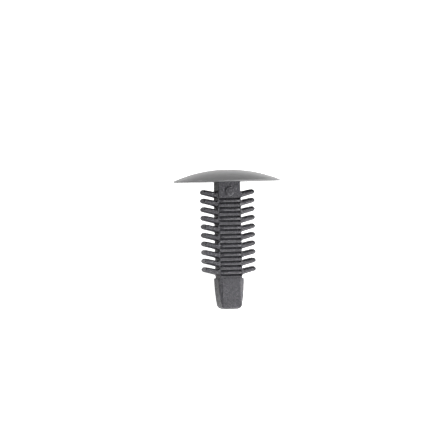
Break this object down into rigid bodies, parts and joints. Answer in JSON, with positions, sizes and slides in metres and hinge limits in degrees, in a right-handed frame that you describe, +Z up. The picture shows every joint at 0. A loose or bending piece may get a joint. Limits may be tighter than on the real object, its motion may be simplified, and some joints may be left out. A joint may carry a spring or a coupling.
{
  "type": "plastic push rivet",
  "caption": "One-piece plastic push rivet with a thin domed head, a fir-tree stem of springy fins, a ladder of small ribs on both faces and a tapered lead-in block.",
  "frame": {"origin": "on the surface that the rivet lies on, under the centre of its bounding box", "axes": "+Y runs along the floor from the stem's tip towards the head, +X runs across the stem along its fins, +Z is up; the rivet lies on its rim and the end of its block with its front ribbed face up, its axis sloping up towards the head by about 19 degrees"},
  "size_m": [0.02, 0.0266, 0.0189],
  "materials": {
    "nylon": "dark grey-black moulded nylon with a fine matte texture, slightly smoother and brighter on the domed head"
  },
  "bodies": {
    "root": {"push_rivet": "nylon"}
  },
  "joints": []
}
